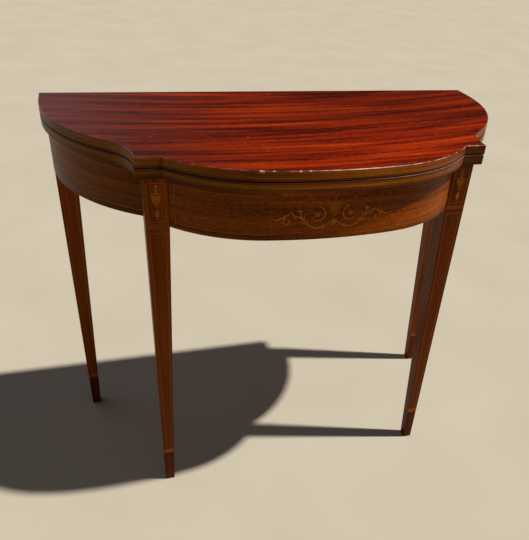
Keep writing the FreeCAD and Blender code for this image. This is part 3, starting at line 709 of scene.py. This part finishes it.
# Leaves: two boards of ribbon-striped mahogany, one on the other, French polished to a high gloss.
# Their edges are faced with brown veneer, with a thin string and a redder lip next to the gap,
# whose arrises are painted near-black as the gap's shade.
GLOSS = {"Coat Weight": 0.4, "Coat Roughness": 0.11, "Specular IOR Level": 0.3}
BARE = (0.52, 0.27, 0.17)
TOP_Z, UPPER_LOW_Z, LOWER_TOP_Z = 0.737, 0.719, 0.7186
END_X, BLOCK_X = 0.457, 0.27024


def pale_arris_wear_and_glint(arris_z, least, most, start_x, end_x, patches, tint):
    """A leaf's upper arris is paler in patches along the front, most towards the right: worn polish
    and a painted glint.
    """
    def apply_mark(made, place, colour):
        x, y, z = (along_axis(made, place, axis) for axis in "XYZ")
        glint_and_wear_patches = made.add("ShaderNodeTexNoise", None,
                        {"Vector": place, "Scale": 75.0, "Detail": 4.0})
        bent = (between(made, z, arris_z, arris_z - 0.00012)
                * between(made, z, arris_z - 0.0013, arris_z - 0.0009))
        pale = least + between(made, x, start_x, end_x) * (most - least)
        glint_and_wear = bent * between(made, glint_and_wear_patches, *patches) * pale * between(made, y, -0.08, -0.13)
        return covered(made, colour, glint_and_wear, tint)
    return apply_mark


def chipped(made, place, colour):
    """Small chips out of the top's arris, most of them left of the middle; the bare wood shows."""
    ragged = made.add("ShaderNodeTexNoise", None, {"Vector": place, "Scale": 420.0, "Detail": 3.0})
    for x, y, size in ((-0.1278, -0.2218, 0.0085), (-0.1086, -0.2236, 0.0045),
                       (-0.0849, -0.2267, 0.0034), (-0.0669, -0.2283, 0.0058),
                       (-0.0515, -0.2284, 0.004), (0.031, -0.2296, 0.0036)):
        away = made.add("ShaderNodeVectorMath", {"operation": "DISTANCE"},
                        {0: place, 1: (x, y, TOP_Z)}, output=1)
        chip = between(made, away + ragged * size * 0.8, size, size * 0.8)
        colour = covered(made, colour, chip * 0.9, BARE)
    return colour


def nicked(made, place, colour):
    """Small nicks and specks, scattered over the polish of the top."""
    def cell(output):
        return made.add("ShaderNodeTexVoronoi", {"voronoi_dimensions": "2D"},
                        {"Vector": place, "Scale": 12.0}, output=output)
    chosen, smaller = (along_axis(made, cell("Color"), axis) for axis in "XY")
    speck = between(made, cell("Distance") + smaller * 0.012, 0.022, 0.012)
    return covered(made, colour, speck * between(made, chosen, 0.55, 0.6) * 0.7, BARE)


def lighter_front_right(made, place, colour):
    """The top is lighter and redder along the front, towards the right."""
    x, y = (along_axis(made, place, axis) for axis in "XY")
    front = between(made, y, 0.05, -0.12) * between(made, x, -0.12, 0.2)
    return tinted(made, colour, front, (1.4, 1.3, 1.0))


def either_side(made, place):
    """How far a place is from the middle of the table, to the left or to the right."""
    return made.add("ShaderNodeMath", {"operation": "ABSOLUTE"},
                    {0: along_axis(made, place, "X")})


def darker_block(made, place, colour):
    """The edges over the two blocks are darker, and most so on the right."""
    x, y = (along_axis(made, place, axis) for axis in "XY")
    block = (between(made, either_side(made, place), BLOCK_X - 0.00014, BLOCK_X + 0.00026)
             * between(made, y, -0.13, -0.14))
    colour = tinted(made, colour, block, (0.76, 0.68, 0.88))
    return tinted(made, colour, block * between(made, x, -0.1, 0.1), (0.6, 0.56, 0.8))


def painted_shade_below(made, place, colour):
    """Painted shade on the rounded edge under the lower leaf, which faces down."""
    under = between(made, along_axis(made, place, "Z"), 0.7085, 0.704)
    return tinted(made, colour, under, (0.42, 0.36, 0.4))


def painted_corner_shade(made, place, colour):
    """Painted shade in the two inner corners where the blocks meet the bow."""
    from_corner = made.add("ShaderNodeMath", {"operation": "ABSOLUTE"},
                           {0: either_side(made, place) - BLOCK_X})
    corner_shade = (between(made, from_corner, 0.003, 0.0002)
            * between(made, along_axis(made, place, "Y"), -0.1, -0.12))
    return covered(made, colour, corner_shade * 0.5, (0.016, 0.005, 0.001))


top_tones = [(0.4, (0.024, 0.0018, 0.0003)), (0.45, (0.058, 0.0038, 0.0004)),
             (0.485, (0.132, 0.008, 0.0005)), (0.54, (0.205, 0.0145, 0.0008)),
             (0.61, (0.33, 0.035, 0.002))]
board_figure = {"along": "x", "ribbon": (0.0145, 0.36), "pore": (0.0006, 0.011),
                "roughness": (0.24, 0.38), "bump": 0.1, "fixed": GLOSS, "sweep": (0.06, 0.26),
                "flecks": 0.17}
top_arris = pale_arris_wear_and_glint(TOP_Z, least=0.14, most=0.85, start_x=-0.16, end_x=0.05,
                         patches=(0.44, 0.62), tint=BARE)
top_mahogany = wood("top_mahogany", top_tones, **board_figure, drift=4.3,
                    wear_and_shading=[lighter_front_right, painted_shade_to_left(-0.08, -0.36, (0.44, 0.6, 0.8)), nicked, top_arris,
                            chipped])
lower_mahogany = wood("lower_mahogany", top_tones, **board_figure, drift=9.0)
edge_tones = [(0.41, (0.1, 0.022, 0.001)), (0.5, (0.18, 0.046, 0.0022)),
              (0.59, (0.28, 0.082, 0.0043))]
# Painted shade to the left, darker and cooler, and darker edges over the blocks.
edge_shade_and_tone = [painted_shade_to_left(-0.05, -0.2, (0.7, 0.8, 1.0)), darker_block]
edge_veneer = wood("edge_veneer", edge_tones, "xy", ribbon=(0.0045, 0.2), pore=(0.0006, 0.012),
                   roughness=(0.32, 0.46), bump=0.1, fixed=POLISH, drift=5.0,
                   wear_and_shading=[*edge_shade_and_tone, painted_shade_below, chipped, painted_corner_shade])
gap_shade_tones = [(0.35, (0.014, 0.0038, 0.0022)), (0.65, (0.034, 0.0088, 0.0036))]
# On the lower leaf's arris by the gap, the pale line is wholly a painted glint of the light.
lower_arris_glint = pale_arris_wear_and_glint(LOWER_TOP_Z, least=0.0, most=0.6, start_x=0.02, end_x=0.12,
                           patches=(0.2, 0.6), tint=(0.36, 0.26, 0.27))
painted_gap_shade = wood("painted_gap_shade", gap_shade_tones, "xy", ribbon=(0.004, 0.1), pore=(0.0006, 0.01),
                 roughness=(0.5, 0.65), bump=0.1, fixed=RAW, drift=1.0, wear_and_shading=[lower_arris_glint])


def leaf_face(gap_side):
    """Which finish a face of a leaf has; gap_side is 1 if the gap is above the leaf, or else -1."""
    def finish_of(face):
        rise = face.normal.z
        if abs(rise) > 0.95:
            return None
        if abs(rise) < 0.4:
            return edge_veneer
        # The arrises facing the gap get the near-black painted shade of the gap.
        if rise * gap_side > 0:
            return painted_gap_shade
        return edge_veneer if gap_side > 0 else None
    return finish_of


def rounded_below(shape):
    """The lower leaf is rounded under its edge, all the way round but for the back."""
    low = min(corner.co.z for corner in shape.verts)
    back = max(corner.co.y for corner in shape.verts)
    hole_x, hole_y = 0.02, -0.2

    def at_foot(edge):
        first, second = (corner.co for corner in edge.verts)
        level = max(first.z, second.z) < low + 0.0001
        at_back = min(first.y, second.y) > back - 0.0001
        screw_hole = abs(first.x) < hole_x and first.y > hole_y
        on_edge = any(abs(face.normal.z) < 0.1 for face in edge.link_faces)
        return level and on_edge and not at_back and not screw_hole

    bmesh.ops.bevel(shape, geom=[edge for edge in shape.edges if at_foot(edge)], offset=0.0055,
                    offset_type="OFFSET", segments=5, profile=0.5, affect="EDGES",
                    clamp_overlap=False)


eased("upper_leaf_polished", "upper_leaf", 0.0005, top_mahogany, "folding_top",
      leaf_face(-1))
eased("lower_leaf_polished", "lower_leaf", 0.0005, lower_mahogany, "frame",
      leaf_face(1), rounded_below)


def leaf_edge():
    """Runs of places round the front and the ends of a leaf, with the way that each looks."""
    def arc(centre, radius, first, last, count, inwards=False):
        way = -1.0 if inwards else 1.0
        for angle in shared_out(first, last, count):
            out = Vector((math.cos(angle), math.sin(angle), 0.0))
            yield Vector((*centre, 0.0)) + out * radius, out * way

    forwards, sideways = Vector((0.0, -1.0, 0.0)), Vector((1.0, 0.0, 0.0))
    bow_radius, bow_end_radius, change_x = 0.805, 0.267, 0.117
    hollow_centre, hollow_radius, end_radius = (0.409, -0.13545), 0.0975, 0.319
    block_y, block_side_x, hinge_y = -0.14295, 0.3115, 0.1838
    ogee = math.atan2(hollow_centre[1] - end_centre[1], hollow_centre[0] - end_centre[0])
    bow_end = math.atan2(block_y - bow_end_centre[1], BLOCK_X - bow_end_centre[0])
    bow_change = math.atan2(-math.sqrt(bow_radius ** 2 - change_x ** 2), change_x)
    bow = list(arc(bow_centre, bow_radius, -math.pi / 2, bow_change, 8))
    bow += arc(bow_end_centre, bow_end_radius, bow_change, bow_end, 10)
    block = [(Vector((x, block_y, 0.0)), forwards) for x in (BLOCK_X, 0.284, 0.298, block_side_x)]
    end = [(Vector((block_side_x, y, 0.0)), sideways) for y in (block_y, -0.1392, hollow_centre[1])]
    end += list(arc(hollow_centre, hollow_radius, math.pi, math.pi + ogee, 8, inwards=True))[1:]
    end += list(arc(end_centre, end_radius, ogee, 0.0, 18))[1:]
    end.append((Vector((END_X, hinge_y, 0.0)), sideways))
    flip = Matrix.Diagonal((-1.0, 1.0, 1.0))
    left_bow, left_block, left_end = (
        [(flip @ place, flip @ out) for place, out in reversed(run)] for run in (bow, block, end))
    return [left_end, left_block, left_bow[:-1] + bow, block, end]


edge_runs = leaf_edge()
line_tones = [(0.32, (0.21, 0.062, 0.003)), (0.68, (0.3, 0.1, 0.006))]
edge_string = wood("edge_string", line_tones, "xy", ribbon=(0.004, 0.1), pore=(0.0006, 0.01),
                   roughness=(0.34, 0.48), bump=0.05, fixed=POLISH, drift=8.0, wear_and_shading=edge_shade_and_tone)
lip_tones = [(0.36, (0.06, 0.0105, 0.0006)), (0.5, (0.1, 0.0195, 0.001)),
             (0.64, (0.14, 0.032, 0.0016))]
lip_veneer = wood("lip_veneer", lip_tones, "xy", ribbon=(0.004, 0.16), pore=(0.0006, 0.012),
                  roughness=(0.32, 0.46), bump=0.08, fixed=POLISH, drift=2.5,
                  wear_and_shading=[*edge_shade_and_tone, painted_corner_shade])
for leaf_name, body, gap_z, way in (("upper", "folding_top", UPPER_LOW_Z, 1),
                                    ("lower", "frame", LOWER_TOP_Z, -1)):
    for part, finish, low, high in (("lip", lip_veneer, 0.0014, 0.005),
                                    ("string", edge_string, 0.005, 0.0058)):
        height = Vector((0.0, 0.0, gap_z + way * (low + high) / 2))
        runs = [line([(place + height, out) for place, out in run], high - low)
                for run in edge_runs]
        inlaid(f"{leaf_name}_leaf_edge_{part}", runs, finish, body,
               step=0.005, sunk=0.0003, thickness=0.00035)


# Hinges: a pair of cast brass card-table hinges, let into the ends of the leaves at the back.
# Each has two plates in one plane, with lapped eyes on a riveted pin, and the brass has dulled.
# The pins in the knuckles of the fly rails are plain steel rod.
def metal(name, tones, scratch, roughness):
    """Old metal: cloudy tarnish, fine scratches, and a polish that varies with the tarnish."""
    made, close = new_finish(name, {"Metallic": 1.0})
    place = made.add("ShaderNodeTexCoord", output="Object")
    cloud = made.add("ShaderNodeTexNoise", None,
                     {"Vector": place, "Scale": 160.0, "Detail": 5.0, "Roughness": 0.6})
    space = made.add("ShaderNodeMapping", None, {"Vector": place, "Scale": scratch})
    lines = made.add("ShaderNodeTexNoise", None, {"Vector": space, "Scale": 1.0, "Detail": 2.0})
    colour = made.add("ShaderNodeValToRGB", {"stops": tones}, {"Fac": cloud * 0.8 + lines * 0.2})
    rough = roughness[0] + cloud * (roughness[1] - roughness[0])
    normal = made.add("ShaderNodeBump", None,
                      {"Strength": 0.15, "Distance": 0.0001, "Height": lines})
    return close({"Base Color": colour, "Roughness": rough, "Normal": normal})


brass_tones = [(0.3, (0.2, 0.115, 0.032)), (0.52, (0.47, 0.3, 0.092)), (0.75, (0.62, 0.43, 0.15))]
aged_brass = metal("aged_brass", brass_tones, (900.0, 90.0, 2200.0), (0.24, 0.5))
steel_tones = [(0.3, (0.1, 0.086, 0.075)), (0.55, (0.25, 0.235, 0.22)),
               (0.8, (0.38, 0.365, 0.35))]
dull_steel = metal("dull_steel", steel_tones, (1600.0, 1600.0, 120.0), (0.34, 0.62))
for side in ("left", "right"):
    for level in ("lower", "upper"):
        dress(f"{side}_hinge_{level}_plate", aged_brass)
    dress(f"{side}_hinge_pin", aged_brass)
    dress(f"{side}_knuckle_pin", dull_steel)


# Screws: slotted wood screws, brass in the hinges, and steel through the knuckle block and up
# through the brace. Each head is countersunk and lies flush with the face that it holds, with its
# slot left at any angle.
def screw_head():
    """A slotted head of radius 1, its slot along X: a disc under two raised halves."""
    shape = bmesh.new()
    corners, slot_half, floor, foot, crown, dome_share = 18, 0.13, -0.3, -0.65, 0.1, 0.82
    for side in (-1, 1):
        start = math.asin(slot_half)
        rim = [(math.cos(angle), side * math.sin(angle))
               for angle in shared_out(start, math.pi - start, corners)]
        under = [shape.verts.new((x, y, floor)) for x, y in rim]
        edge = [shape.verts.new((x, y, 0.0)) for x, y in rim]
        dome = [shape.verts.new((x * dome_share, max(abs(y) * dome_share, slot_half) * side, crown))
                for x, y in rim]
        for i in range(corners):
            shape.faces.new((under[i], under[i + 1], edge[i + 1], edge[i]))
            shape.faces.new((edge[i], edge[i + 1], dome[i + 1], dome[i]))
        shape.faces.new(dome)
        shape.faces.new((under[0], edge[0], dome[0], dome[-1], edge[-1], under[-1]))
        shape.faces.new(under)
    count = 2 * corners
    ring = [2 * math.pi * i / count for i in range(count)]
    low, high = ([shape.verts.new((math.cos(angle), math.sin(angle), z)) for angle in ring]
                 for z in (foot, floor))
    for i in range(count):
        j = (i + 1) % count
        shape.faces.new((low[i], low[j], high[j], high[i]))
    shape.faces.new(high)
    shape.faces.new(low)
    bmesh.ops.recalc_face_normals(shape, faces=shape.faces)
    mesh = bpy.data.meshes.new("screw_head")
    shape.to_mesh(mesh)
    shape.free()
    return bpy.data.objects.new("screw_head", mesh)


def screw_tree():
    """Sets a slotted head on every point, square to its face, each slot turned its own way."""
    made, given = new_tree("screw heads on points",
                           {"Points": "Geometry", "Head": "Object", "Radius": "Float",
                            "Slots seed": "Int", "Metal": "Material"}, "Heads")
    head = made.add("GeometryNodeObjectInfo", None, {"Object": given("Head")}, output="Geometry")
    square = made.add("FunctionNodeAlignRotationToVector", {"axis": "Z"},
                      {"Vector": carried(made, "face_out", "FLOAT_VECTOR")})
    chance = made.add("FunctionNodeRandomValue", {"data_type": "FLOAT"},
                      {"Seed": given("Slots seed")}, output=1)
    turn = made.add("ShaderNodeCombineXYZ", None, {"Z": chance * math.pi})
    turned_slot = made.add("FunctionNodeRotateRotation", {"rotation_space": "LOCAL"},
                           {"Rotation": square, "Rotate By": turn})
    size = made.add("ShaderNodeCombineXYZ", None, {axis: given("Radius") for axis in "XYZ"})
    heads = made.add("GeometryNodeInstanceOnPoints", None,
                     {"Points": given("Points"), "Instance": head, "Rotation": turned_slot,
                      "Scale": size})
    heads = made.add("GeometryNodeRealizeInstances", None, {"Geometry": heads})
    heads = made.add("GeometryNodeSetMaterial", None,
                     {"Geometry": heads, "Material": given("Metal")})
    made.add("NodeGroupOutput", None, {"Heads": heads})
    return made.tree


slotted_head = screw_head()
heads_on_points = screw_tree()


def screw_heads(name, places, ways, radius, finish, body, seed):
    mesh = bpy.data.meshes.new(name)
    mesh.from_pydata(places, [], [])
    carry_faces(mesh, ways)
    piece = grown(name, mesh, heads_on_points,
                  {"Head": slotted_head, "Radius": radius, "Slots seed": seed, "Metal": finish})
    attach(piece, body)


for level, body, z in (("lower", "frame", 0.7136), ("upper", "folding_top", 0.724)):
    dress(f"{level}_hinge_screws", aged_brass)
    places = [(side * END_X, y, z) for side in (-1, 1) for y in (0.19637, 0.21437)]
    ways = [(math.copysign(1.0, x), 0.0, 0.0) for x, _, _ in places]
    screw_heads(f"{level}_hinge_screw_heads", places, ways, 0.0022, aged_brass, body, 3)
dress("block_screws", dull_steel)
dress("top_screws", dull_steel)
block_places = [(x, 0.180825, z) for x in (-0.06, 0.06) for z in (0.6311, 0.6811)]
screw_heads("block_screw_heads", block_places, [(0.0, 1.0, 0.0)] * 4, 0.0045, dull_steel,
            "frame", 5)
top_places = [(0.0, y, 0.6806) for y in (-0.13944, -0.02944, 0.08056)]
screw_heads("top_screw_heads", top_places, [(0.0, 0.0, -1.0)] * 3, 0.0042, dull_steel,
            "frame", 8)


# Floor, light and camera: a plain pale floor under soft studio light, from the right, high and a
# little in front. Behind, the room is cool on the left and dark high up on the right, which the
# polish of the top mirrors.
floor_mesh = bpy.data.meshes.new("floor")
reach = 20.0
floor_mesh.from_pydata([(-reach, -reach, 0.0), (reach, -reach, 0.0), (reach, reach, 0.0),
                        (-reach, reach, 0.0)], [], [(0, 1, 2, 3)])
floor = bpy.data.objects.new("floor", floor_mesh)
bpy.context.scene.collection.objects.link(floor)
made, close = new_finish("pale_floor", {"Specular IOR Level": 0.2})
place = made.add("ShaderNodeTexCoord", output="Object")
mottle = made.add("ShaderNodeTexNoise", None, {"Vector": place, "Scale": 3.0, "Detail": 4.0})
floor_tones = [(0.3, (0.4, 0.366, 0.292)), (0.7, (0.43, 0.396, 0.322))]
pale = made.add("ShaderNodeValToRGB", {"stops": floor_tones}, {"Fac": mottle})
floor_mesh.materials.append(close({"Base Color": pale, "Roughness": 0.75 + mottle * 0.15}))

studio = bpy.data.worlds.new("studio")
studio.use_nodes = True
studio.node_tree.nodes.clear()
made = TreeNodes(studio.node_tree)
outlook = made.add("ShaderNodeTexCoord", output="Generated")
left_side = between(made, along_axis(made, outlook, "X"), 0.28, -0.35)
behind = between(made, along_axis(made, outlook, "Y"), -0.1, 0.4)
overhead = between(made, along_axis(made, outlook, "Z"), 0.05, 0.17)
room = covered(made, (0.1, 0.094, 0.08, 1.0), behind * left_side, (0.4, 0.38, 0.47))
room = covered(made, room, behind * (1 - left_side) * overhead, (0.006, 0.004, 0.003))
background = made.add("ShaderNodeBackground", None, {"Color": room})
made.add("ShaderNodeOutputWorld", None, {"Surface": background})
bpy.context.scene.world = studio
bpy.context.scene.view_settings.view_transform = "Standard"

lamp = bpy.data.lights.new("key", "SUN")
lamp.angle, lamp.energy, lamp.color = math.radians(1.8), 5.2, (1.0, 0.95, 0.87)
key = bpy.data.objects.new("key", lamp)
light_way = Vector((-0.5, 0.121, -0.858))
key.rotation_euler = light_way.to_track_quat("-Z", "Y").to_euler()
bpy.context.scene.collection.objects.link(key)

LONG_SIDE, focal_pixels, shift_pixels = 540.0, 623.743, (-39.16, 67.35)
lens = bpy.data.cameras.new("camera")
lens.sensor_fit = "AUTO"
lens.sensor_width = 36.0
lens.lens = focal_pixels * lens.sensor_width / LONG_SIDE
lens.shift_x, lens.shift_y = (shift / LONG_SIDE for shift in shift_pixels)
lens.clip_end = 60.0
camera = bpy.data.objects.new("camera", lens)
camera_place = (-0.36358, -1.11054, 1.08583)
yaw, pitch, roll = 0.3520, 0.6178, 0.0874
ahead = Vector((math.sin(yaw) * math.cos(pitch), math.cos(yaw) * math.cos(pitch),
                -math.sin(pitch)))
level_way = Vector((math.cos(yaw), -math.sin(yaw), 0.0))
above = level_way.cross(ahead)
right_way = level_way * math.cos(roll) + above * math.sin(roll)
up_way = above * math.cos(roll) - level_way * math.sin(roll)
turn = Matrix((right_way, up_way, -ahead)).transposed().to_4x4()
camera.matrix_world = Matrix.Translation(camera_place) @ turn
bpy.context.scene.collection.objects.link(camera)
bpy.context.scene.camera = camera
